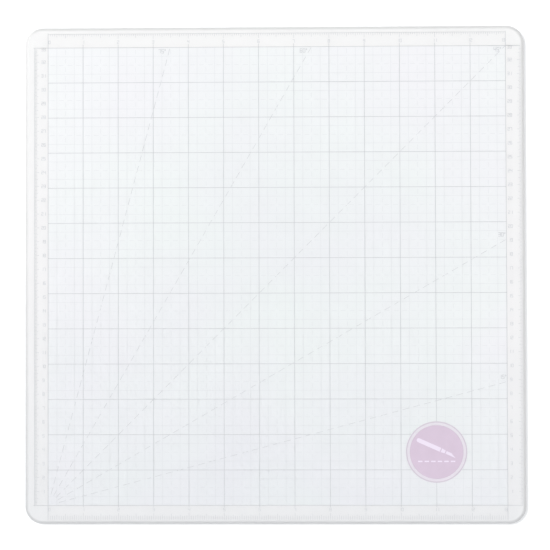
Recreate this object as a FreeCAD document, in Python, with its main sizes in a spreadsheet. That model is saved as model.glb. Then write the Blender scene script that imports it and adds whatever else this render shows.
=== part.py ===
import FreeCAD, Part
import math
import os

import Sketcher

# Self-healing cutting mat: three plies pressed into one sheet, with inks screened on its top face.
# Frame: millimetres, origin at the centre of the underside, +X to the right and +Y to the far side of the
# print as it is read, +Z up out of the printed face.

VECTOR = FreeCAD.Vector
document = FreeCAD.newDocument("CuttingMat")
sheet = document.addObject("Spreadsheet::Sheet", "Dimensions")

# Driving dimensions, in millimetres unless the name says count: alias, value, what it is.
DIMENSIONS = [
    ("mat_width", 360.0, "outline, left to right"),
    ("mat_depth", 358.0, "outline, near to far"),
    ("corner_radius", 12.7, "outline corners"),
    ("skin_thickness", 1.0, "each healing ply"),
    ("core_thickness", 1.0, "stiff middle ply"),
    ("rim_run", 2.0, "how far the softened upper rim reaches inwards"),
    ("rim_drop", 0.55, "how far that rim falls"),
    ("rim_blend", 4.0, "radius where the rim leaves the flat face"),
    ("rim_nose", 0.3, "radius where the rim meets the side wall"),
    ("lower_edge", 0.3, "radius of the edge that rests on the bench"),
    ("seam_break", 0.08, "broken edge each side of a seam between plies"),
    ("cell_pitch", 25.4, "one inch of the printed grid"),
    ("cell_count", 13, "inch cells each way"),
    ("grid_shift_right", 1.6, "print sits this far right of the mat's middle"),
    ("grid_shift_near", 0.55, "and this far towards the near edge"),
    ("ink_thickness", 0.05, "one screened film"),
    ("inch_line", 0.30, "width of an inch line"),
    ("quarter_line", 0.12, "width of a quarter-inch line"),
    ("half_line", 0.12, "width of a half-inch dash"),
    ("half_dash", 3.4, "length of a half-inch dash"),
    ("line_gap", 0.1, "bare strip where two printed lines stop short of each other"),
    ("top_stub", 2.4, "inch lines run this far past the grid's far border"),
    ("bottom_stub", 1.3, "and this far past its near border"),
    ("border_overrun", 10.6, "the four border lines cross the corners this far"),
    ("tick_width", 0.18, "ruler tick"),
    ("base_line", 0.22, "line along the outer ends of the left and far ticks"),
    ("left_tick_start", 7.9, "left ruler ticks start this far outside the grid"),
    ("left_tick_length", 1.8, "and are this long"),
    ("right_tick_start", 9.6, "right ruler ticks"),
    ("right_tick_length", 1.4, "their length"),
    ("top_tick_start", 8.5, "far ruler ticks"),
    ("top_tick_length", 1.4, "their length"),
    ("bottom_tick_start", 7.4, "near ruler ticks"),
    ("bottom_tick_length", 2.9, "their length"),
    ("long_tick_extra", 0.7, "each longer tick reaches this much further in"),
    ("numeral_height", 2.1, "ruler numerals"),
    ("numeral_stroke", 0.26, "pen width of every numeral"),
    ("left_numeral_offset", 3.3, "middle of the left numerals, outside the grid"),
    ("right_numeral_offset", 2.9, "middle of the right numerals"),
    ("top_numeral_offset", 4.1, "middle of the far numerals"),
    ("bottom_numeral_offset", 3.0, "middle of the near numerals"),
    ("angle_dash", 5.0, "dash of an angle line"),
    ("angle_gap", 3.0, "gap between its dashes"),
    ("angle_line", 0.22, "width of an angle line"),
    ("label_height", 2.6, "angle labels"),
    ("label_back", 6.1, "top labels stand this far left of the end of their line"),
    ("label_below", 2.8, "and this far below the grid's far border"),
    ("label_inside", 3.6, "right labels stand this far inside the grid's right border"),
    ("label_above", 3.4, "and this far above the end of their line"),
    ("label_clear_width", 5.6, "bare window that each label stands in"),
    ("label_clear_height", 3.8, "height of that window"),
    ("badge_column", 11, "count of inch lines from the left to the badge's middle"),
    ("badge_row", 1.5, "count of cells from the near border to it"),
    ("disc_radius", 19.2, "lilac disc"),
    ("ring_inner_radius", 21.1, "thin ring round the disc, inside"),
    ("ring_outer_radius", 21.9, "thin ring, outside"),
    ("knife_width", 3.0, "handle of the badge's craft knife"),
    ("handle_length", 17.0, "its length without the round butt"),
    ("collar_length", 3.0, "blade holder"),
    ("collar_taper", 0.45, "how much narrower the holder gets on each side"),
    ("blade_length", 8.0, "blade"),
    ("blade_back", 3.6, "straight part of the blade's back, before it slopes to the point"),
    ("knife_gap", 0.7, "disc showing between handle, holder and blade"),
    ("knife_tilt", 24.0, "degrees that the knife points down to the right"),
    ("knife_rise", 2.8, "middle of the knife above the badge's middle"),
    ("cut_dash", 3.2, "dash of the cutting line under the knife"),
    ("cut_dash_gap", 1.5, "gap between its dashes"),
    ("cut_dash_width", 1.0, "its width"),
    ("cut_dash_count", 6, "its dashes"),
    ("cut_line_fall", 7.2, "the cutting line is this far below the badge's middle"),
]
ANGLES = [15, 30, 45, 60, 75]

for row, (alias, number, meaning) in enumerate(DIMENSIONS, start=1):
    sheet.set(f"A{row}", meaning)
    sheet.set(f"B{row}", str(number))
    sheet.setAlias(f"B{row}", alias)
document.recompute()


def cell(expression):
    """The expression with each dimension's alias written the way other objects read the sheet."""
    words = expression.split()
    aliases = {alias for alias, number, meaning in DIMENSIONS}
    return " ".join(f"Dimensions.{word}" if word in aliases else word for word in words)


def number(expression):
    """What the expression is worth now."""
    return float(sheet.evalExpression(cell(expression)))


GRID_SIDE = "cell_count * cell_pitch"
GRID_LEFT = "( grid_shift_right - cell_count * cell_pitch / 2 )"
GRID_NEAR = "( 0 - grid_shift_near - cell_count * cell_pitch / 2 )"
TOP_FACE = "( 2 * skin_thickness + core_thickness )"
BADGE_X = f"{GRID_LEFT} + badge_column * cell_pitch"
BADGE_Y = f"{GRID_NEAR} + badge_row * cell_pitch"


# Helpers: bodies, sketches and features bound to the sheet

def new_body(label):
    """A PartDesign body that may hold separate pieces, as a print does."""
    body = document.addObject("PartDesign::Body", label)
    body.Label = label
    body.AllowCompound = True
    return body


def new_sketch(body, name, x, y, z):
    """A sketch on the body's own XY plane, with its origin moved to x, y, z."""
    plane = [feature for feature in body.Origin.OriginFeatures if feature.Role == "XY_Plane"][0]
    sketch = body.newObject("Sketcher::SketchObject", name)
    sketch.AttachmentSupport = (plane, [""])
    sketch.MapMode = "FlatFace"
    sketch.setExpression("AttachmentOffset.Base.x", cell(x))
    sketch.setExpression("AttachmentOffset.Base.y", cell(y))
    sketch.setExpression("AttachmentOffset.Base.z", cell(z))
    return sketch


def bind(sketch, kind, places, expression):
    """A dimension of the sketch that follows the sheet."""
    index = sketch.addConstraint(Sketcher.Constraint(kind, *places, number(expression)))
    sketch.setExpression(f"Constraints[{index}]", cell(expression))


def add_rectangle(sketch, left, bottom, width, height):
    """An upright rectangle, placed from the sketch's origin."""
    x, y = number(left), number(bottom)
    w, h = number(width), number(height)
    corners = [VECTOR(x, y, 0), VECTOR(x + w, y, 0), VECTOR(x + w, y + h, 0), VECTOR(x, y + h, 0)]
    sides = []
    for here, there in zip(corners, corners[1:] + corners[:1]):
        sides.append(sketch.addGeometry(Part.LineSegment(here, there), False))
    for here, there in zip(sides, sides[1:] + sides[:1]):
        sketch.addConstraint(Sketcher.Constraint("Coincident", here, 2, there, 1))
    for index, side in enumerate(sides):
        lie = "Horizontal" if index % 2 == 0 else "Vertical"
        sketch.addConstraint(Sketcher.Constraint(lie, side))
    bind(sketch, "DistanceX", (-1, 1, sides[0], 1), left)
    bind(sketch, "DistanceY", (-1, 1, sides[0], 1), bottom)
    bind(sketch, "DistanceX", (sides[0], 1, sides[0], 2), width)
    bind(sketch, "DistanceY", (sides[1], 1, sides[1], 2), height)


def add_circle(sketch, radius):
    """A circle round the sketch's origin."""
    circle = sketch.addGeometry(Part.Circle(VECTOR(0, 0, 0), VECTOR(0, 0, 1), number(radius)), False)
    sketch.addConstraint(Sketcher.Constraint("Coincident", circle, 3, -1, 1))
    bind(sketch, "Radius", (circle,), radius)


def add_mat_outline(sketch):
    """The mat's outline: four sides joined by four tangent corner arcs, centred on the origin."""
    half_x, half_y = number("mat_width") / 2, number("mat_depth") / 2
    radius = number("corner_radius")
    inner_x, inner_y = half_x - radius, half_y - radius
    ends = [
        (VECTOR(-inner_x, -half_y, 0), VECTOR(inner_x, -half_y, 0)),
        (VECTOR(half_x, -inner_y, 0), VECTOR(half_x, inner_y, 0)),
        (VECTOR(inner_x, half_y, 0), VECTOR(-inner_x, half_y, 0)),
        (VECTOR(-half_x, inner_y, 0), VECTOR(-half_x, -inner_y, 0)),
    ]
    centres = [(inner_x, -inner_y), (inner_x, inner_y), (-inner_x, inner_y), (-inner_x, -inner_y)]
    sides = [sketch.addGeometry(Part.LineSegment(*pair), False) for pair in ends]
    arcs = []
    for index, (x, y) in enumerate(centres):
        circle = Part.Circle(VECTOR(x, y, 0), VECTOR(0, 0, 1), radius)
        start = math.radians(90 * index - 90)
        arcs.append(sketch.addGeometry(Part.ArcOfCircle(circle, start, start + math.pi / 2), False))
    for index in range(4):
        following = sides[(index + 1) % 4]
        sketch.addConstraint(Sketcher.Constraint("Tangent", sides[index], 2, arcs[index], 1))
        sketch.addConstraint(Sketcher.Constraint("Tangent", arcs[index], 2, following, 1))
        if index:
            sketch.addConstraint(Sketcher.Constraint("Equal", arcs[0], arcs[index]))
    sketch.addConstraint(Sketcher.Constraint("Horizontal", sides[0]))
    sketch.addConstraint(Sketcher.Constraint("Vertical", sides[1]))
    sketch.addConstraint(Sketcher.Constraint("Horizontal", sides[2]))
    sketch.addConstraint(Sketcher.Constraint("Vertical", sides[3]))
    sketch.addConstraint(Sketcher.Constraint("Symmetric", arcs[0], 3, arcs[2], 3, -1, 1))
    bind(sketch, "Radius", (arcs[0],), "corner_radius")
    bind(sketch, "DistanceX", (sides[3], 1, sides[1], 1), "mat_width")
    bind(sketch, "DistanceY", (sides[0], 1, sides[2], 1), "mat_depth")


def add_pad(body, sketch, name, thickness):
    """Raises the sketch by the thickness."""
    pad = body.newObject("PartDesign::Pad", name)
    pad.Profile = sketch
    pad.setExpression("Length", cell(thickness))
    body.Tip = pad
    document.recompute()
    return pad


def add_film(body, sketch, name):
    """Raises the sketch by one film of ink."""
    return add_pad(body, sketch, name, "ink_thickness")


def add_row(body, feature, name, axis, pitch, count):
    """Repeats the feature along one axis of its sketch."""
    pattern = body.newObject("PartDesign::LinearPattern", name)
    pattern.Originals = [feature]
    pattern.Refine = False
    pattern.Direction = (feature.Profile[0], [axis])
    pattern.setExpression("Length", cell(f"{pitch} * ( {count} - 1 )"))
    pattern.setExpression("Occurrences", cell(count))
    body.Tip = pattern
    document.recompute()
    return pattern


def add_field(body, sketch, name):
    """Repeats everything drawn so far in the first cell over every cell of the grid."""
    pattern = body.newObject("PartDesign::LinearPattern", name)
    pattern.TransformMode = "Whole shape"
    pattern.Refine = False
    pattern.Direction = (sketch, ["H_Axis"])
    pattern.Direction2 = (sketch, ["V_Axis"])
    for suffix in ("", "2"):
        pattern.setExpression(f"Length{suffix}", cell("cell_pitch * ( cell_count - 1 )"))
        pattern.setExpression(f"Occurrences{suffix}", cell("cell_count"))
    body.Tip = pattern
    document.recompute()
    return pattern


def cut_through(body, sketch, name, merge_faces=False):
    """Takes the sketch's area out of the body's film, and makes sure that some ink went."""
    before = body.Shape.Volume
    pocket = body.newObject("PartDesign::Pocket", name)
    pocket.Profile = sketch
    pocket.Type = "ThroughAll"
    pocket.Midplane = True
    pocket.Refine = merge_faces
    body.Tip = pocket
    document.recompute()
    if body.Shape.Volume > before - 1e-6:
        raise RuntimeError(f"{body.Label}: {name} cut nothing")
    return pocket


def edges_at(shape, height):
    """Names of the edges that lie flat at the height."""
    names = []
    for index, edge in enumerate(shape.Edges, start=1):
        box = edge.BoundBox
        if abs(box.ZMin - height) < 1e-6 and abs(box.ZMax - height) < 1e-6:
            names.append(f"Edge{index}")
    return names


def soften(body, feature, kind, name, height, sizes):
    """A Fillet or Chamfer along every flat edge at the height."""
    edges = edges_at(feature.Shape, height)
    dressing = body.newObject(f"PartDesign::{kind}", name)
    dressing.Base = (feature, edges)
    if "Size2" in sizes:
        dressing.ChamferType = "Two distances"
    for key, expression in sizes.items():
        dressing.setExpression(key, cell(expression))
    body.Tip = dressing
    document.recompute()
    return dressing


# The three plies

def make_bottom_skin():
    """Lower healing ply, on the bench."""
    body = new_body("bottom_skin")
    sketch = new_sketch(body, "bottom_skin_outline", "0", "0", "0")
    add_mat_outline(sketch)
    ply = add_pad(body, sketch, "bottom_skin_ply", "skin_thickness")
    ply = soften(body, ply, "Fillet", "lower_edge_round", 0.0, {"Radius": "lower_edge"})
    seam = number("skin_thickness")
    soften(body, ply, "Chamfer", "bottom_skin_seam", seam, {"Size": "seam_break"})
    return body


def make_core_sheet():
    """Stiff ply between the skins."""
    body = new_body("core_sheet")
    sketch = new_sketch(body, "core_outline", "0", "0", "skin_thickness")
    add_mat_outline(sketch)
    ply = add_pad(body, sketch, "core_ply", "core_thickness")
    lower_seam = number("skin_thickness")
    upper_seam = number("skin_thickness + core_thickness")
    ply = soften(body, ply, "Chamfer", "core_lower_seam", lower_seam, {"Size": "seam_break"})
    soften(body, ply, "Chamfer", "core_upper_seam", upper_seam, {"Size": "seam_break"})
    return body


def make_top_skin():
    """Upper healing ply, whose rim falls gently to a small rounded nose."""
    body = new_body("top_skin")
    sketch = new_sketch(body, "top_skin_outline", "0", "0", "skin_thickness + core_thickness")
    add_mat_outline(sketch)
    ply = add_pad(body, sketch, "top_skin_ply", "skin_thickness")
    seam = number("skin_thickness + core_thickness")
    face = number(TOP_FACE)
    ply = soften(body, ply, "Chamfer", "top_skin_seam", seam, {"Size": "seam_break"})
    ply = soften(body, ply, "Chamfer", "rim_slope", face, {"Size": "rim_drop", "Size2": "rim_run"})
    rim_foot = face - number("rim_drop")
    if edges_at(ply.Shape, rim_foot) == []:
        raise RuntimeError("the rim's slope came out the wrong way round")
    ply = soften(body, ply, "Fillet", "rim_blend_round", face, {"Radius": "rim_blend"})
    soften(body, ply, "Fillet", "rim_nose_round", rim_foot, {"Radius": "rim_nose"})
    return body


# Grey line prints

def badge_window(body, merge_faces=False):
    """Clears the ring's place, so that no line runs under the badge."""
    sketch = new_sketch(body, f"{body.Label}_badge_window", BADGE_X, BADGE_Y, TOP_FACE)
    add_circle(sketch, "ring_outer_radius + line_gap")
    cut_through(body, sketch, f"{body.Label}_badge_cut", merge_faces)


def make_inch_grid():
    """The solid inch lines, and the four border lines that run on across the corners."""
    body = new_body("inch_grid_print")
    edge = "inch_line / 2"
    plain = [
        ("upright", f"{GRID_LEFT} - {edge}", f"{GRID_NEAR} - bottom_stub",
         "inch_line", f"{GRID_SIDE} + bottom_stub + top_stub", "H_Axis"),
        ("level", f"{GRID_LEFT}", f"{GRID_NEAR} - {edge}",
         f"{GRID_SIDE}", "inch_line", "V_Axis"),
    ]
    border = [
        ("border_upright", f"{GRID_LEFT} - {edge}", f"{GRID_NEAR} - border_overrun",
         "inch_line", f"{GRID_SIDE} + 2 * border_overrun", "H_Axis"),
        ("border_level", f"{GRID_LEFT} - border_overrun", f"{GRID_NEAR} - {edge}",
         f"{GRID_SIDE} + 2 * border_overrun", "inch_line", "V_Axis"),
    ]
    for group, pitch, count in ((border, GRID_SIDE, "2"), (plain, "cell_pitch", "( cell_count + 1 )")):
        for name, x, y, width, height, axis in group:
            sketch = new_sketch(body, f"{name}_line", x, y, TOP_FACE)
            add_rectangle(sketch, "0", "0", width, height)
            film = add_film(body, sketch, f"{name}_film")
            add_row(body, film, f"{name}_lines", axis, pitch, count)
    badge_window(body, merge_faces=True)
    return body


def label_windows(body):
    """Clears the ink where the angle labels stand."""
    sketch = new_sketch(body, f"{body.Label}_label_windows", GRID_LEFT, GRID_NEAR, TOP_FACE)
    for x, y in label_places():
        left = f"{x:.4f} - label_clear_width / 2"
        bottom = f"{y:.4f} - label_clear_height / 2"
        add_rectangle(sketch, left, bottom, "label_clear_width", "label_clear_height")
    cut_through(body, sketch, f"{body.Label}_label_cut")


def make_quarter_lines():
    """Two fine lines each way in every cell, stopping short of the inch lines."""
    body = new_body("quarter_inch_print")
    sketch = new_sketch(body, "quarter_cell", GRID_LEFT, GRID_NEAR, TOP_FACE)
    start = "inch_line / 2 + line_gap"
    run = f"cell_pitch - 2 * ( {start} )"
    near = "cell_pitch / 4 - quarter_line / 2"
    far = "3 * cell_pitch / 4 - quarter_line / 2"
    for place in (near, far):
        add_rectangle(sketch, place, start, "quarter_line", run)
    add_film(body, sketch, "quarter_uprights")
    level_sketch = new_sketch(body, "quarter_cell_levels", GRID_LEFT, GRID_NEAR, TOP_FACE)
    for place in (near, far):
        add_rectangle(level_sketch, start, place, run, "quarter_line")
    add_film(body, level_sketch, "quarter_levels")
    add_field(body, sketch, "quarter_field")
    badge_window(body)
    label_windows(body)
    return body


def make_half_lines():
    """Broken half-inch lines: one short dash between each pair of finer lines."""
    body = new_body("half_inch_print")
    sketch = new_sketch(body, "half_cell", GRID_LEFT, GRID_NEAR, TOP_FACE)
    middle = "cell_pitch / 2 - half_line / 2"
    for index in range(4):
        start = f"{2 * index + 1} * cell_pitch / 8 - half_dash / 2"
        add_rectangle(sketch, middle, start, "half_line", "half_dash")
        add_rectangle(sketch, start, middle, "half_dash", "half_line")
    add_film(body, sketch, "half_dashes")
    add_field(body, sketch, "half_dash_field")
    badge_window(body)
    return body


# Ruler ticks

def add_base_line(body, side, outer_end):
    """The line that joins the ticks' outer ends, stopping short of the border lines."""
    clear = "( inch_line / 2 + line_gap )"
    run = f"{GRID_SIDE} - 2 * {clear}"
    if side == "left":
        sketch = new_sketch(body, "left_base_line", f"{GRID_LEFT} - ( {outer_end} ) - base_line / 2",
                            f"{GRID_NEAR} + {clear}", TOP_FACE)
        add_rectangle(sketch, "0", "0", "base_line", run)
    else:
        sketch = new_sketch(body, "far_base_line", f"{GRID_LEFT} + {clear}",
                            f"{GRID_NEAR} + {GRID_SIDE} + {outer_end} - base_line / 2", TOP_FACE)
        add_rectangle(sketch, "0", "0", run, "base_line")
    add_film(body, sketch, f"{side}_base_film")


def make_ticks(label, side, start, length, pitch, steps, long_steps):
    """A row of ticks outside one border, with longer ones at the larger divisions.

    steps is how many small divisions the row has, and long_steps how many of them make each larger one.
    Ticks on the border lines themselves are left out, because those lines run there.
    """
    body = new_body(label)
    if side in ("left", "far"):
        add_base_line(body, side, f"{start} + {length}")
    lengths = [(1, length, start)]
    for rank, group in enumerate(long_steps, start=1):
        extra = f"{rank} * long_tick_extra"
        lengths.append((group, f"{length} + {extra}", f"{start} - {extra}"))
    for group, reach, inner in lengths:
        first = f"{group} * {pitch} - tick_width / 2"
        last_step = (steps - 1) // group
        if side == "left":
            sketch = new_sketch(body, f"{label}_{group}", f"{GRID_LEFT} - ( {inner} ) - ( {reach} )",
                                f"{GRID_NEAR} + {first}", TOP_FACE)
        elif side == "right":
            sketch = new_sketch(body, f"{label}_{group}", f"{GRID_LEFT} + {GRID_SIDE} + {inner}",
                                f"{GRID_NEAR} + {first}", TOP_FACE)
        elif side == "far":
            sketch = new_sketch(body, f"{label}_{group}", f"{GRID_LEFT} + {first}",
                                f"{GRID_NEAR} + {GRID_SIDE} + {inner}", TOP_FACE)
        else:
            sketch = new_sketch(body, f"{label}_{group}", f"{GRID_LEFT} + {first}",
                                f"{GRID_NEAR} - ( {inner} ) - ( {reach} )", TOP_FACE)
        if side in ("left", "right"):
            add_rectangle(sketch, "0", "0", reach, "tick_width")
            axis = "V_Axis"
        else:
            add_rectangle(sketch, "0", "0", "tick_width", reach)
            axis = "H_Axis"
        tick = add_film(body, sketch, f"{label}_tick_{group}")
        add_row(body, tick, f"{label}_row_{group}", axis, f"{group} * {pitch}", str(last_step))
    return body


# Numerals: plain square-cut figures. Each digit is the bars of a figure of eight that it uses, on a cell
# that is GLYPH_WIDTH wide and 1 high: t, m and b are its top, middle and bottom bars, and the corners'
# letters are its four upright bars.

GLYPH_WIDTH = 0.56
GLYPH_SPACE = 0.26
BARS = {
    "t": (0.0, 1.0, GLYPH_WIDTH, 1.0),
    "m": (0.0, 0.5, GLYPH_WIDTH, 0.5),
    "b": (0.0, 0.0, GLYPH_WIDTH, 0.0),
    "p": (0.0, 0.5, 0.0, 1.0),
    "q": (GLYPH_WIDTH, 0.5, GLYPH_WIDTH, 1.0),
    "r": (0.0, 0.0, 0.0, 0.5),
    "s": (GLYPH_WIDTH, 0.0, GLYPH_WIDTH, 0.5),
}
DIGIT_BARS = {
    "0": "tbpqrs", "1": "qs", "2": "tmbqr", "3": "tmbqs", "4": "mpqs",
    "5": "tmbps", "6": "tmbprs", "7": "tqs", "8": "tmbpqrs", "9": "tmbpqs",
}
DEGREE_RADIUS = 0.14


def glyph_solid(bars, height):
    """One raised figure with the pen's centre line starting at the origin."""
    pen = number("numeral_stroke")
    boxes = []
    for bar in bars:
        x1, y1, x2, y2 = [place * height for place in BARS[bar]]
        corner = VECTOR(x1 - pen / 2, y1 - pen / 2, 0)
        boxes.append(Part.makeBox(x2 - x1 + pen, y2 - y1 + pen, number("ink_thickness"), corner))
    return boxes[0].fuse(boxes[1:]).removeSplitter()


def degree_solid(height):
    """A raised degree sign that stands at the top of a character's cell."""
    half_pen = number("numeral_stroke") / 2
    radius = DEGREE_RADIUS * height
    centre = VECTOR(radius, height - radius, 0)
    outer = Part.Face(Part.Wire(Part.makeCircle(radius + half_pen, centre)))
    inner = Part.Face(Part.Wire(Part.makeCircle(radius - half_pen, centre)))
    return outer.cut(inner).extrude(VECTOR(0, 0, number("ink_thickness")))


glyph_store = {}


def glyph(character, height):
    """The raised character, made once for each height."""
    key = (character, height)
    if key not in glyph_store:
        if character == "°":
            glyph_store[key] = degree_solid(height)
        else:
            glyph_store[key] = glyph_solid(DIGIT_BARS[character], height)
    return glyph_store[key]


def text_width(digits, height):
    """Width of that many digits, between the middles of the outermost bars."""
    return ((GLYPH_WIDTH + GLYPH_SPACE) * digits - GLYPH_SPACE) * height


def text_solids(text, height, centre_x, centre_y):
    """The characters of the text, centred on a point of the top face. A degree sign hangs on at the end."""
    advance = (GLYPH_WIDTH + GLYPH_SPACE) * height
    left = centre_x - text_width(len(text.rstrip("°")), height) / 2
    floor = number(TOP_FACE)
    solids = []
    for index, character in enumerate(text):
        place = VECTOR(left + advance * index, centre_y - height / 2, floor)
        solids.append(glyph(character, height).translated(place))
    return solids


def add_print(label, solids):
    """A print made of many raised solids."""
    feature = document.addObject("Part::Feature", label)
    feature.Label = label
    feature.Shape = Part.makeCompound(solids)
    feature.Placement = FreeCAD.Placement()
    return feature


def make_centimetre_numerals(label, x):
    """Centimetre numerals up one side, counted from the near border."""
    height = number("numeral_height")
    side = number(GRID_SIDE)
    solids = []
    for centimetre in range(1, int(side // 10) + 1):
        y = min(10 * centimetre, side - height / 2)
        solids += text_solids(str(centimetre), height, x, number(GRID_NEAR) + y)
    return add_print(label, solids)


def make_inch_numerals(label, y):
    """Inch numerals along one border, counted from the left. The outer two stand beside the border lines."""
    height = number("numeral_height")
    last = int(number("cell_count"))
    beside = number("( inch_line + numeral_stroke ) / 2 + line_gap")
    solids = []
    for inch in range(last + 1):
        x = number(GRID_LEFT) + inch * number("cell_pitch")
        if inch == 0:
            x += text_width(1, height) / 2 + beside
        elif inch == last:
            x -= text_width(len(str(last)), height) / 2 + beside
        solids += text_solids(str(inch), height, x, y)
    return add_print(label, solids)


# Angle lines from the near left corner of the grid

def line_end(angle):
    """Where the angle line meets the far or the right border, from the grid's near left corner."""
    side = number(GRID_SIDE)
    slope = math.tan(math.radians(angle))
    if slope >= 1:
        return side / slope, side
    return side, side * slope


def label_places():
    """Middle of each angle label, from the grid's near left corner."""
    side = number(GRID_SIDE)
    places = []
    for angle in ANGLES:
        x, y = line_end(angle)
        if angle >= 45:
            places.append((x - number("label_back"), side - number("label_below")))
        else:
            places.append((side - number("label_inside"), y + number("label_above")))
    return places


def crossing_windows(angle):
    """Stretches of the angle line to leave bare where it crosses a printed line."""
    turn = math.radians(angle)
    windows = []
    half_dash_width = number("angle_line") / 2
    for lean, reach in ((math.cos(turn), math.sin(turn)), (math.sin(turn), math.cos(turn))):
        for step in range(int(number("cell_count")) * 4 + 1):
            place = step * number("cell_pitch") / 4
            if step % 4 == 0:
                width = number("inch_line")
            else:
                width = max(number("quarter_line"), number("half_line"))
            middle = place / lean
            half = (width / 2 + half_dash_width * reach) / lean + number("line_gap")
            windows.append((middle - half, middle + half))
    return windows


def badge_stretch(angle):
    """The stretch of the angle line that the badge covers, or None."""
    turn = math.radians(angle)
    direction = VECTOR(math.cos(turn), math.sin(turn), 0)
    badge = VECTOR(number("badge_column"), number("badge_row"), 0) * number("cell_pitch")
    along = badge.dot(direction)
    aside = (badge - direction * along).Length
    reach = number("ring_outer_radius + angle_line + line_gap")
    if aside >= reach:
        return None
    half = math.sqrt(reach ** 2 - aside ** 2)
    return along - half, along + half


def remaining_dashes(angle):
    """The dashes of the angle line, less every bare stretch."""
    length = math.hypot(*line_end(angle))
    dash, period = number("angle_dash"), number("angle_dash + angle_gap")
    bare = crossing_windows(angle)
    if badge_stretch(angle):
        bare.append(badge_stretch(angle))
    bare.sort()
    pieces = []
    for index in range(1, int(length // period) + 1):
        start = index * period
        stop = min(start + dash, length)
        for low, high in bare:
            if high <= start or low >= stop:
                continue
            if low > start:
                pieces.append((start, low))
            start = max(start, high)
        if stop > start:
            pieces.append((start, stop))
    shortest = 2 * number("angle_line")
    return [(start, stop) for start, stop in pieces if stop - start > shortest]


def make_angle_line(angle):
    """One dashed line at the angle to the near border."""
    width, thickness = number("angle_line"), number("ink_thickness")
    origin = VECTOR(number(GRID_LEFT), number(GRID_NEAR), number(TOP_FACE))
    solids = []
    for start, stop in remaining_dashes(angle):
        dash = Part.makeBox(stop - start, width, thickness, VECTOR(start, -width / 2, 0))
        dash.rotate(VECTOR(0, 0, 0), VECTOR(0, 0, 1), angle)
        solids.append(dash.translated(origin))
    return add_print(f"angle_line_{angle}", solids)


def make_angle_labels():
    """The angle in degrees beside the far end of each line."""
    height = number("label_height")
    solids = []
    for angle, (x, y) in zip(ANGLES, label_places()):
        place_x = number(GRID_LEFT) + x - DEGREE_RADIUS * height
        solids += text_solids(f"{angle}°", height, place_x, number(GRID_NEAR) + y)
    return add_print("angle_numerals", solids)


# Badge

def make_badge_disc():
    """Solid lilac disc."""
    body = new_body("badge_disc")
    sketch = new_sketch(body, "badge_disc_circle", BADGE_X, BADGE_Y, TOP_FACE)
    add_circle(sketch, "disc_radius")
    add_film(body, sketch, "badge_disc_film")
    return body


def make_badge_ring():
    """Thin ring round the disc."""
    body = new_body("badge_ring")
    sketch = new_sketch(body, "badge_ring_circles", BADGE_X, BADGE_Y, TOP_FACE)
    add_circle(sketch, "ring_outer_radius")
    add_circle(sketch, "ring_inner_radius")
    add_film(body, sketch, "badge_ring_film")
    return body


def raised_polygon(points):
    """One film of ink over the polygon, from the level of the origin."""
    corners = [VECTOR(x, y, 0) for x, y in points]
    outline = Part.makePolygon(corners + corners[:1])
    return Part.Face(outline).extrude(VECTOR(0, 0, number("ink_thickness")))


def knife_solids():
    """A plain craft knife along +X with its point on the lower side, starting at the origin."""
    half = number("knife_width / 2")
    handle_length, gap = number("handle_length"), number("knife_gap")
    handle = raised_polygon([(0, -half), (handle_length, -half), (handle_length, half), (0, half)])
    butt = Part.makeCylinder(half, number("ink_thickness"))
    holder_start = handle_length + gap
    holder_stop = holder_start + number("collar_length")
    holder_half = half - number("collar_taper")
    holder = raised_polygon([(holder_start, -half), (holder_stop, -holder_half),
                             (holder_stop, holder_half), (holder_start, half)])
    blade_start = holder_stop + gap
    blade = raised_polygon([(blade_start, -holder_half), (blade_start + number("blade_length"), -holder_half),
                            (blade_start + number("blade_back"), holder_half), (blade_start, holder_half)])
    return [handle.fuse(butt).removeSplitter(), holder, blade]


def make_badge_symbol():
    """A plain craft knife over a dashed cutting line, in pale ink on top of the disc."""
    on_disc = VECTOR(number(BADGE_X), number(BADGE_Y), number(f"{TOP_FACE} + ink_thickness"))
    middle = number("( handle_length + 2 * knife_gap + collar_length + blade_length - knife_width / 2 ) / 2")
    solids = []
    for piece in knife_solids():
        moved = piece.translated(VECTOR(-middle, 0, 0))
        moved.rotate(VECTOR(0, 0, 0), VECTOR(0, 0, 1), -number("knife_tilt"))
        solids.append(moved.translated(on_disc + VECTOR(0, number("knife_rise"), 0)))
    period = number("cut_dash + cut_dash_gap")
    row_left = -number("( cut_dash + cut_dash_gap ) * cut_dash_count - cut_dash_gap") / 2
    for index in range(int(number("cut_dash_count"))):
        corner = VECTOR(row_left + index * period, -number("cut_line_fall"), 0)
        solids.append(Part.makeBox(number("cut_dash"), number("cut_dash_width"), number("ink_thickness"),
                                   on_disc + corner))
    return add_print("badge_symbol", solids)


# Assembly: every sub-part in turn

grid_right = number(f"{GRID_LEFT} + {GRID_SIDE}")
grid_far = number(f"{GRID_NEAR} + {GRID_SIDE}")
sub_parts = [
    make_bottom_skin(),
    make_core_sheet(),
    make_top_skin(),
    make_inch_grid(),
    make_quarter_lines(),
    make_half_lines(),
    make_ticks("left_centimetre_ticks", "left", "left_tick_start", "left_tick_length", "1", 330, (5, 10)),
    make_ticks("right_centimetre_ticks", "right", "right_tick_start", "right_tick_length", "1", 330, (5, 10)),
    make_ticks("top_inch_ticks", "far", "top_tick_start", "top_tick_length", "cell_pitch / 16", 208,
               (4, 8, 16)),
    make_ticks("bottom_inch_ticks", "near", "bottom_tick_start", "bottom_tick_length", "cell_pitch / 16", 208,
               (4, 8, 16)),
    make_centimetre_numerals("left_centimetre_numerals", number(GRID_LEFT) - number("left_numeral_offset")),
    make_centimetre_numerals("right_centimetre_numerals", grid_right + number("right_numeral_offset")),
    make_inch_numerals("top_inch_numerals", grid_far + number("top_numeral_offset")),
    make_inch_numerals("bottom_inch_numerals", number(GRID_NEAR) - number("bottom_numeral_offset")),
]
sub_parts += [make_angle_line(angle) for angle in ANGLES]
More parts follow.
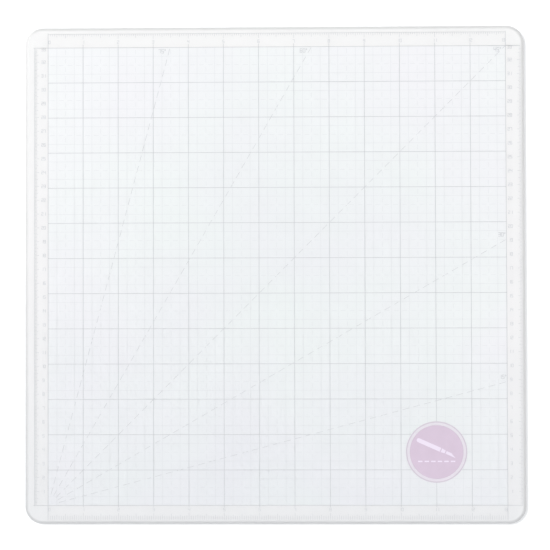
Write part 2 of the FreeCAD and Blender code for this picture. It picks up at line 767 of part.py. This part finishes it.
sub_parts += [make_angle_labels(), make_badge_disc(), make_badge_ring(), make_badge_symbol()]
document.recompute()

for item in document.Objects:
    if "Invalid" in item.State or "Error" in item.State:
        raise RuntimeError(f"{item.Label} did not compute: {item.State}")

os.makedirs("parts", exist_ok=True)
for part in sub_parts:
    if part.Shape.isNull() or not part.Shape.isValid():
        raise RuntimeError(f"{part.Label} has no valid shape")
    if not part.Shape.Solids:
        raise RuntimeError(f"{part.Label} holds no solid")
    part.Shape.exportStep(f"parts/{part.Label}.step")
    print(part.Label, len(part.Shape.Solids), round(part.Shape.Volume, 3))
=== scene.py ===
import math

import bpy
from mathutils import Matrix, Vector


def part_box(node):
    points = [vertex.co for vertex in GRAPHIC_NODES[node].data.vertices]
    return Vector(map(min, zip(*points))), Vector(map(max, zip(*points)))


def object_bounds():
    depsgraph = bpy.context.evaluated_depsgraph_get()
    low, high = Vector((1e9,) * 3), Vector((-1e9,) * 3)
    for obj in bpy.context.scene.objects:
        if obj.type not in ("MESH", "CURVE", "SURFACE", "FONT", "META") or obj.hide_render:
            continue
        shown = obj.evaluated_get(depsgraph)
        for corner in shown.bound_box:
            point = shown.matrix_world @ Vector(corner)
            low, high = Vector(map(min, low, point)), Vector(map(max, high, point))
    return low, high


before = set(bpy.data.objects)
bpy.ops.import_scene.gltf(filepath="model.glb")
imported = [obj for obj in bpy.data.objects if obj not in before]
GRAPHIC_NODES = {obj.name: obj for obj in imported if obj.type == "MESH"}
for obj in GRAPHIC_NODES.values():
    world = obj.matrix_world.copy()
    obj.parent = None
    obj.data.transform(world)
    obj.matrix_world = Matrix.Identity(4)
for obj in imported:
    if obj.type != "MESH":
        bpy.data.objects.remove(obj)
cad_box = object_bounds()

# A milky self-healing cutting mat with a very pale printed grid and a lilac badge, seen from almost straight
# above. Metres. The mat lies on the floor and its print is read from -Y. Every noise scale counts lumps to
# the metre, and every colour is linear.


# Materials: every one is a single Principled shader, fed by noise in object coordinates.

class NodeTree:
    """A short way to write a material's nodes."""

    def __init__(self, name):
        self.material = bpy.data.materials.new(name)
        self.material.use_nodes = True
        self.tree = self.material.node_tree
        self.shader = self.tree.nodes["Principled BSDF"]
        self.place = self.tree.nodes.new("ShaderNodeTexCoord").outputs["Object"]

    def set(self, **values):
        """Constants on the shader's own sockets."""
        for name, value in values.items():
            self.shader.inputs[name.replace("_", " ")].default_value = value

    def link(self, source, socket):
        self.tree.links.new(source, socket)

    def mapped(self, scale, turn=0.0):
        """Object coordinates, turned about Z and scaled."""
        node = self.tree.nodes.new("ShaderNodeMapping")
        node.inputs["Rotation"].default_value = (0.0, 0.0, turn)
        node.inputs["Scale"].default_value = scale
        self.link(self.place, node.inputs["Vector"])
        return node.outputs["Vector"]

    def noise(self, scale, detail=2.0, roughness=0.5, place=None):
        """Noise with so many lumps a metre."""
        node = self.tree.nodes.new("ShaderNodeTexNoise")
        node.inputs["Scale"].default_value = scale
        node.inputs["Detail"].default_value = detail
        node.inputs["Roughness"].default_value = roughness
        self.link(place or self.place, node.inputs["Vector"])
        return node.outputs["Fac"]

    def spread(self, source, low, high, from_low=0.3, from_high=0.7):
        """The source's middle range stretched to low..high."""
        node = self.tree.nodes.new("ShaderNodeMapRange")
        node.inputs["From Min"].default_value = from_low
        node.inputs["From Max"].default_value = from_high
        node.inputs["To Min"].default_value = low
        node.inputs["To Max"].default_value = high
        self.link(source, node.inputs["Value"])
        return node.outputs["Result"]

    def combine(self, operation, first, second):
        node = self.tree.nodes.new("ShaderNodeMath")
        node.operation = operation
        for socket, value in zip(node.inputs, (first, second)):
            if isinstance(value, float):
                socket.default_value = value
            else:
                self.link(value, socket)
        return node.outputs["Value"]

    def part(self, vector, name):
        """X, Y or Z of a vector."""
        node = self.tree.nodes.new("ShaderNodeSeparateXYZ")
        self.link(vector, node.inputs["Vector"])
        return node.outputs[name]

    def ramp(self, source, stops):
        """Colours along 0..1."""
        node = self.tree.nodes.new("ShaderNodeValToRGB")
        elements = node.color_ramp.elements
        while len(elements) < len(stops):
            elements.new(0.5)
        for element, (position, colour) in zip(elements, stops):
            element.position = position
            element.color = (*colour, 1.0)
        self.link(source, node.inputs["Fac"])
        return node.outputs["Color"]

    def blend(self, kind, amount, first, second):
        """Two colours, each a socket or a tuple, blended."""
        node = self.tree.nodes.new("ShaderNodeMix")
        node.data_type = "RGBA"
        node.blend_type = kind
        if isinstance(amount, float):
            node.inputs["Factor"].default_value = amount
        else:
            self.link(amount, node.inputs["Factor"])
        colours = [socket for socket in node.inputs if socket.type == "RGBA"]
        for socket, colour in zip(colours, (first, second)):
            if isinstance(colour, tuple):
                socket.default_value = (*colour, 1.0)
            else:
                self.link(colour, socket)
        return [socket for socket in node.outputs if socket.type == "RGBA"][0]

    def tint(self, colour, shade):
        """The colour multiplied by another, or by a grey shade."""
        return self.blend("MULTIPLY", 1.0, colour, shade)

    def mixed(self, amount, first, second):
        """The first colour where amount is 0, the second where it is 1."""
        return self.blend("MIX", amount, first, second)

    def vector(self, operation, first, second=None):
        node = self.tree.nodes.new("ShaderNodeVectorMath")
        node.operation = operation
        self.link(first, node.inputs[0])
        if second is not None:
            node.inputs[1].default_value = second
        return node.outputs["Value" if operation == "LENGTH" else "Vector"]

    def bump(self, height, depth):
        """Relief that is depth metres tall for a height of 1."""
        node = self.tree.nodes.new("ShaderNodeBump")
        node.inputs["Strength"].default_value = 1.0
        node.inputs["Distance"].default_value = depth
        self.link(height, node.inputs["Height"])
        self.link(node.outputs["Normal"], self.shader.inputs["Normal"])


def middle_of(box):
    """Middle of a box, and half its size."""
    low, high = Vector(box[0]), Vector(box[1])
    return (low + high) / 2, (high - low) / 2


MAT_HALF = middle_of(cad_box)[1]
GRID_MIDDLE, GRID_HALF = middle_of(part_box("quarter_inch_print"))
BADGE_MIDDLE, BADGE_HALF = middle_of(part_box("badge_ring"))
CORNER_RADIUS = 0.0127
FIELD_SOFTNESS = 0.0004

# Tones of the upper skin along it from the near side to the far side, darker at the near side as painted
# shade where the light falls off, with a slight hue drift; and what multiplies them where.
UPPER_PAINTED_FALLOFF_TONES = ((0.0, (0.738, 0.750, 0.767)), (0.45, (0.803, 0.804, 0.814)), (1.0, (0.826, 0.832, 0.834)))
MIDDLE_TINT = (0.950, 0.972, 0.962)
OUTER_TINT = (1.0, 1.0, 1.0)
LILAC_TINT = (0.990, 0.978, 1.0)
GREEN_TINT = (0.978, 1.0, 0.990)
PRINT_HAZE = (0.985, 0.985, 0.985)
BORDER_TINT = (0.972, 0.958, 0.948)
BADGE_TINT = (0.985, 0.90, 0.965)
CLOUD_SCALE = 9.0
UPPER_CLOUD = 0.08
PLAIN_CLOUD = 0.15
HUE_SCALE = 11.0
MIDDLE_SCALE = 5.0
MIDDLE_RAGGED = 0.15
MIDDLE_START = 0.03
MIDDLE_END = MAT_HALF.x * 1.15

# Painted shade on the softened rim: a darker band painted into the colour where the slope and edge look dark.
# How far it reaches in, and its painted shade from there to the edge.
PAINTED_RIM_RUN = 0.0028
PAINTED_RIM_SHADES = ((0.0, 1.0), (0.3, 0.89), (0.5, 0.79), (0.85, 0.79), (1.0, 0.89))

# The vinyl's surface. A scuff is smoother than the skin round it, and pressed in a little.
PLASTIC_IOR = 1.49
SCATTER_SHARE = 0.6
SCATTER_DEPTH = 0.0025
MOTTLE_SCALE = 60.0
MOTTLE_DARKEST = 0.99
GRAIN_SCALE = 1400.0
GRAIN_DEPTH = 0.00003
GRAIN_ROUGHNESS = 0.05
SCUFF_SCALE = 14.0
SCUFF_STRETCH = 34.0
SCUFF_TURN = math.radians(24)
CROSS_SCUFF_SCALE = 11.0
CROSS_SCUFF_STRETCH = 38.0
CROSS_SCUFF_TURN = math.radians(9)
SCUFF_POLISH = -0.06
SCUFF_PRESS = 0.4

# The ink's surface.
INK_PATCH_SCALE = 160.0
INK_GRAIN_SCALE = 2600.0
INK_GRAIN_DEPTH = 0.000006
INK_GRAIN_ROUGHNESS = 0.06


def rim_reach(nodes):
    """Metres past the straight inner part of the mat, so that its edge is one corner radius out all round."""
    inner = (MAT_HALF.x - CORNER_RADIUS, MAT_HALF.y - CORNER_RADIUS, 1.0)
    beyond = nodes.vector("SUBTRACT", nodes.vector("ABSOLUTE", nodes.place), inner)
    return nodes.vector("LENGTH", nodes.vector("MAXIMUM", beyond, (0.0, 0.0, 0.0)))


def painted_rim_shade(nodes):
    """Painted shade on the softened rim, next to the flat face: a darker band in the colour that stands in
    for the shade the rim's slope and edge take.
    """
    across = nodes.spread(rim_reach(nodes), 0.0, 1.0, CORNER_RADIUS - PAINTED_RIM_RUN, CORNER_RADIUS)
    return nodes.ramp(across, [(place, (shade, shade, shade)) for place, shade in PAINTED_RIM_SHADES])


def print_field(nodes):
    """1 over the grid, and 0 on the border round it."""
    offset = nodes.vector("ABSOLUTE", nodes.vector("SUBTRACT", nodes.place, tuple(GRID_MIDDLE)))
    further = nodes.combine("MAXIMUM", nodes.part(offset, "X"), nodes.part(offset, "Y"))
    return nodes.spread(further, 1.0, 0.0, GRID_HALF.x - FIELD_SOFTNESS, GRID_HALF.x + FIELD_SOFTNESS)


def badge_field(nodes):
    """1 inside the badge's ring, and 0 outside it."""
    outwards = nodes.vector("LENGTH", nodes.vector("SUBTRACT", nodes.place, tuple(BADGE_MIDDLE)))
    return nodes.spread(outwards, 1.0, 0.0, BADGE_HALF.x - FIELD_SOFTNESS, BADGE_HALF.x)


def clouded_depth(nodes, cloud):
    """0 at the near side to 1 at the far side, shifted to and fro by soft clouds."""
    along = nodes.spread(nodes.part(nodes.place, "Y"), 0.0, 1.0, -MAT_HALF.y, MAT_HALF.y)
    clouds = nodes.spread(nodes.noise(CLOUD_SCALE, detail=3.0), -cloud, cloud)
    return nodes.combine("ADD", along, clouds)


def upper_tone(nodes):
    """Painted shade, darker towards the near side where the light falls off; tinted in the middle, clouded,
    and plainer off the print.
    """
    # This ramp paints the light's falloff as shade towards the near side.
    tone = nodes.ramp(clouded_depth(nodes, UPPER_CLOUD), UPPER_PAINTED_FALLOFF_TONES)
    bare = nodes.tint(tone, BORDER_TINT)
    outwards = nodes.vector("LENGTH", nodes.place)
    ragged = nodes.spread(nodes.noise(MIDDLE_SCALE), -MIDDLE_RAGGED, MIDDLE_RAGGED)
    from_middle = nodes.combine("ADD", nodes.spread(outwards, 0.0, 1.0, MIDDLE_START, MIDDLE_END), ragged)
    tone = nodes.tint(tone, nodes.ramp(from_middle, ((0.0, MIDDLE_TINT), (1.0, OUTER_TINT))))
    hue = nodes.ramp(nodes.noise(HUE_SCALE), ((0.35, LILAC_TINT), (0.65, GREEN_TINT)))
    field = nodes.tint(nodes.tint(tone, hue), PRINT_HAZE)
    field = nodes.mixed(badge_field(nodes), field, nodes.tint(field, BADGE_TINT))
    return nodes.mixed(print_field(nodes), bare, field)


def vinyl(name, tone_of, roughness):
    """Milky vinyl: grained by the press, mottled, with faint scuffs across it."""
    nodes = NodeTree(name)
    mottle = nodes.spread(nodes.noise(MOTTLE_SCALE, detail=4.0), MOTTLE_DARKEST, 1.0)
    # The base colour carries the painted rim shade, a darker band along the edge that stands in for shade.
    nodes.link(nodes.tint(nodes.tint(tone_of(nodes), mottle), painted_rim_shade(nodes)),
               nodes.shader.inputs["Base Color"])
    grain = nodes.noise(GRAIN_SCALE, detail=3.0, roughness=0.6)
    along_x = nodes.mapped((1.0, SCUFF_STRETCH, 1.0), SCUFF_TURN)
    along_y = nodes.mapped((CROSS_SCUFF_STRETCH, 1.0, 1.0), CROSS_SCUFF_TURN)
    scuffs = nodes.noise(SCUFF_SCALE, place=along_x)
    cross_scuffs = nodes.noise(CROSS_SCUFF_SCALE, place=along_y)
    worn = nodes.combine("MAXIMUM", nodes.spread(scuffs, 0.0, 1.0, 0.66, 0.72),
                         nodes.spread(cross_scuffs, 0.0, 1.0, 0.67, 0.73))
    grained = nodes.spread(grain, roughness - GRAIN_ROUGHNESS, roughness + GRAIN_ROUGHNESS)
    polished = nodes.combine("ADD", grained, nodes.combine("MULTIPLY", worn, SCUFF_POLISH))
    nodes.link(polished, nodes.shader.inputs["Roughness"])
    pressed = nodes.combine("SUBTRACT", grain, nodes.combine("MULTIPLY", worn, SCUFF_PRESS))
    nodes.bump(pressed, GRAIN_DEPTH)
    nodes.set(IOR=PLASTIC_IOR, Subsurface_Weight=SCATTER_SHARE, Subsurface_Radius=(1.0, 1.0, 1.0),
              Subsurface_Scale=SCATTER_DEPTH)
    return nodes.material


def ink(name, colour, roughness, patchiness):
    """Screened ink: a thin even film that is a little thinner here and there."""
    nodes = NodeTree(name)
    thin = nodes.spread(nodes.noise(INK_PATCH_SCALE, detail=4.0), 1.0, 1.0 + patchiness)
    nodes.link(nodes.tint(colour, thin), nodes.shader.inputs["Base Color"])
    grain = nodes.noise(INK_GRAIN_SCALE)
    grained = nodes.spread(grain, roughness - INK_GRAIN_ROUGHNESS, roughness + INK_GRAIN_ROUGHNESS)
    nodes.link(grained, nodes.shader.inputs["Roughness"])
    nodes.bump(grain, INK_GRAIN_DEPTH)
    nodes.set(IOR=PLASTIC_IOR)
    return nodes.material


def plain_tone(near, far):
    """A tone that only drifts from one side to the other."""
    return lambda nodes: nodes.ramp(clouded_depth(nodes, PLAIN_CLOUD), ((0.0, near), (1.0, far)))


def paint(material, *names):
    """Gives CAD nodes their material."""
    for name in names:
        mesh = GRAPHIC_NODES[name].data
        mesh.materials.clear()
        mesh.materials.append(material)


paint(vinyl("upper_skin_vinyl", upper_tone, 0.38), "top_skin")
paint(vinyl("core_vinyl", plain_tone((0.80, 0.82, 0.83), (0.84, 0.85, 0.85)), 0.45), "core_sheet")
paint(vinyl("lower_skin_vinyl", plain_tone((0.78, 0.81, 0.83), (0.83, 0.85, 0.855)), 0.42), "bottom_skin")
TICKS_AND_LINES = [name for name in GRAPHIC_NODES if name.endswith("_ticks") or "angle" in name]
NUMERALS = [name for name in GRAPHIC_NODES if name.endswith("_numerals") and "angle" not in name]
paint(ink("grey_ink", (0.495, 0.505, 0.525), 0.5, 0.12), "inch_grid_print", *TICKS_AND_LINES)
paint(ink("numeral_ink", (0.55, 0.56, 0.58), 0.5, 0.10), *NUMERALS)
paint(ink("fine_grey_ink", (0.605, 0.617, 0.637), 0.5, 0.08), "half_inch_print", "quarter_inch_print")
paint(ink("lilac_ink", (0.545, 0.445, 0.544), 0.42, 0.04), "badge_disc")
paint(ink("ring_ink", (0.566, 0.503, 0.576), 0.42, 0.04), "badge_ring")
paint(ink("pale_ink", (0.70, 0.62, 0.73), 0.42, 0.03), "badge_symbol")


# Floor, light and camera

FLOOR_WHITE = (0.95, 0.95, 0.95)
STUDIO_WHITE = (0.97, 0.985, 1.0, 1.0)


def make_floor(half, below):
    """A plain pale floor, just under the mat."""
    mesh = bpy.data.meshes.new("floor")
    corners = [(-half, -half, -below), (half, -half, -below), (half, half, -below), (-half, half, -below)]
    mesh.from_pydata(corners, [], [(0, 1, 2, 3)])
    nodes = NodeTree("floor_paper")
    mottle = nodes.spread(nodes.noise(30.0, detail=3.0), 0.985, 1.0)
    nodes.link(nodes.tint(FLOOR_WHITE, mottle), nodes.shader.inputs["Base Color"])
    nodes.set(Roughness=0.9, Specular_IOR_Level=0.2)
    mesh.materials.append(nodes.material)
    floor = bpy.data.objects.new("floor", mesh)
    bpy.context.scene.collection.objects.link(floor)


def make_softbox(name, place, size, power):
    """A square studio softbox that faces the mat."""
    light = bpy.data.lights.new(name, "AREA")
    light.size = size
    light.energy = power
    box = bpy.data.objects.new(name, light)
    box.location = place
    box.rotation_euler = (-Vector(place)).to_track_quat("-Z", "Y").to_euler()
    box.visible_camera = False
    bpy.context.scene.collection.objects.link(box)


def make_world(strength):
    """Even pale surroundings."""
    world = bpy.data.worlds.new("studio")
    world.use_nodes = True
    background = world.node_tree.nodes["Background"]
    background.inputs["Color"].default_value = STUDIO_WHITE
    background.inputs["Strength"].default_value = strength
    bpy.context.scene.world = world


def make_camera(place, aim, roll, lens):
    """The camera, almost straight above the mat. Roll is in degrees, lens in millimetres."""
    camera_data = bpy.data.cameras.new("camera")
    camera_data.lens = lens
    camera = bpy.data.objects.new("camera", camera_data)
    camera.location = place
    look = Vector(aim) - Vector(place)
    camera.rotation_euler = (math.atan2(look.y, -look.z), math.atan2(-look.x, -look.z), math.radians(roll))
    bpy.context.scene.collection.objects.link(camera)
    bpy.context.scene.camera = camera


make_floor(half=30.0, below=0.0001)
make_world(strength=0.73)
make_softbox("overhead", place=(0.9, -0.1, 2.2), size=2.0, power=11.0)
make_softbox("key", place=(-2.95, 1.45, 4.0), size=1.8, power=144.0)
make_camera(place=(0.0206, -0.0213, 1.1026), aim=(0.0003, -0.0003, 0.003), roll=-0.16, lens=100.0)
bpy.context.scene.view_settings.view_transform = "Standard"
